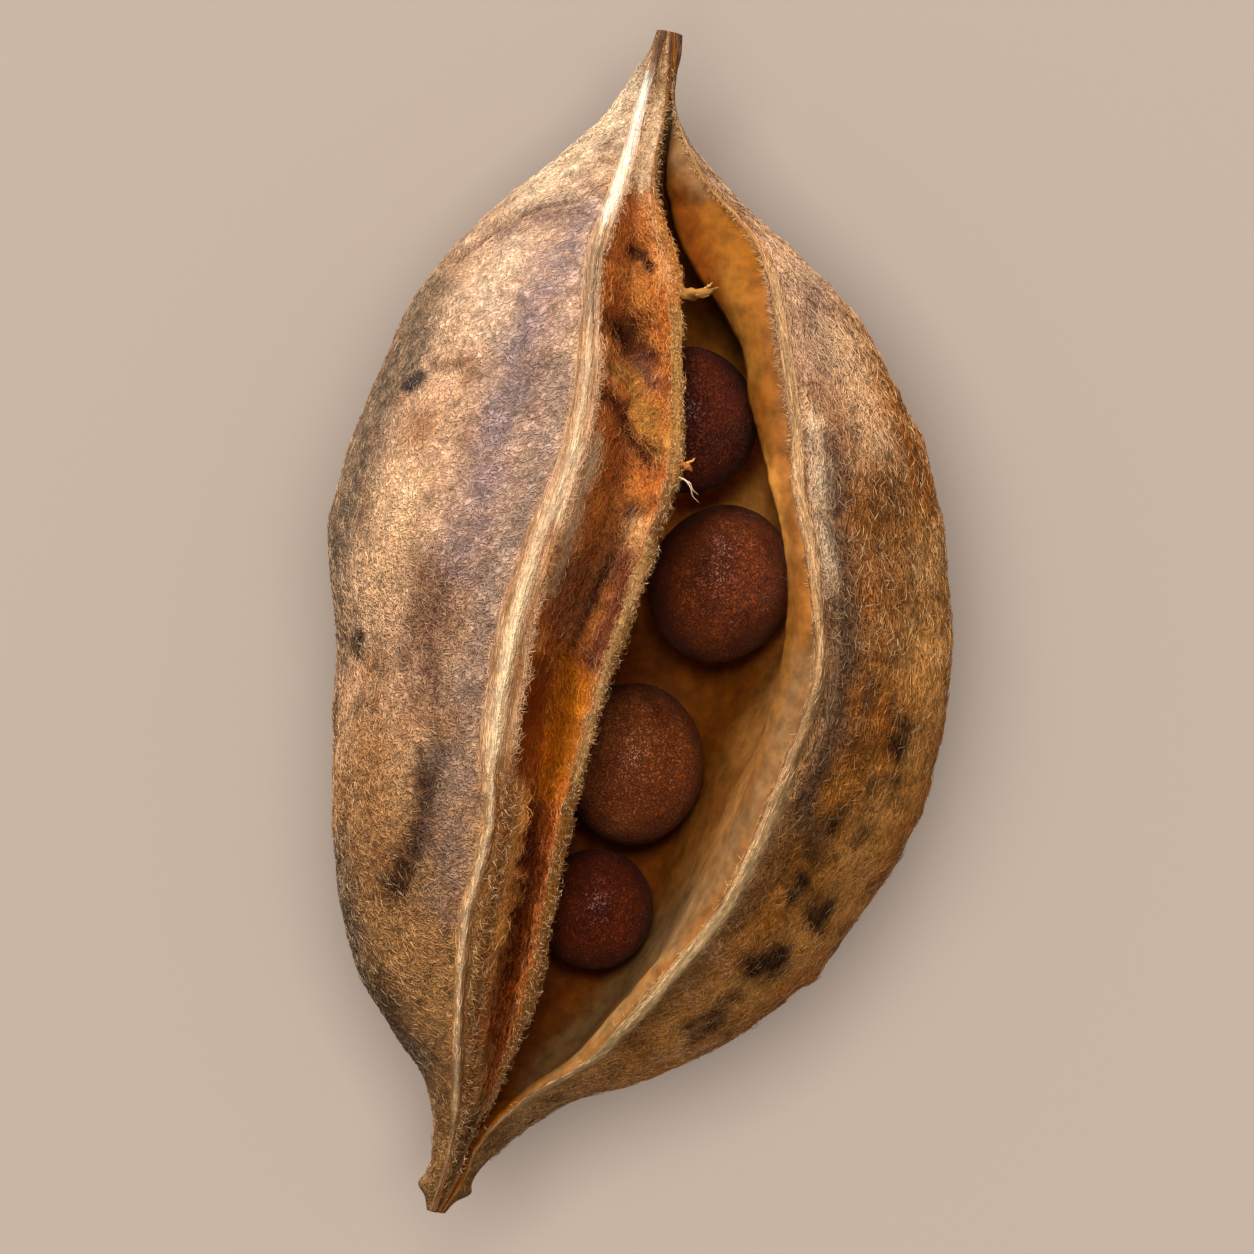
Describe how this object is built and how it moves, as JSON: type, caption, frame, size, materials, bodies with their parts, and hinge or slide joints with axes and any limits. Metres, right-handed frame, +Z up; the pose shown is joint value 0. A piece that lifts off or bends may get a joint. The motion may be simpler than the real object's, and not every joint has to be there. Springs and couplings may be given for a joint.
{
  "type": "split seed pod",
  "caption": "Dried felted seed pod lying on its back, split along its front, with pale rims, a septum, an orange furrow and round brown seeds in an open chamber.",
  "frame": {"origin": "middle of the pod's outline on the surface it lies on", "axes": "+Y along the pod from the broken stalk to the beak, +Z up, out of the split, +X across the pod towards the wider valve"},
  "size_m": [0.0532, 0.1, 0.0358],
  "materials": {
    "felted_husk": "dry woody shell covered with short golden-brown felt",
    "seed_coat": "hard dark brown seed coat, finely wrinkled, with a soft sheen"
  },
  "bodies": {
    "root": {"husk": "felted_husk", "seed_1": "seed_coat", "seed_2": "seed_coat", "seed_3": "seed_coat", "seed_4": "seed_coat"}
  },
  "joints": []
}
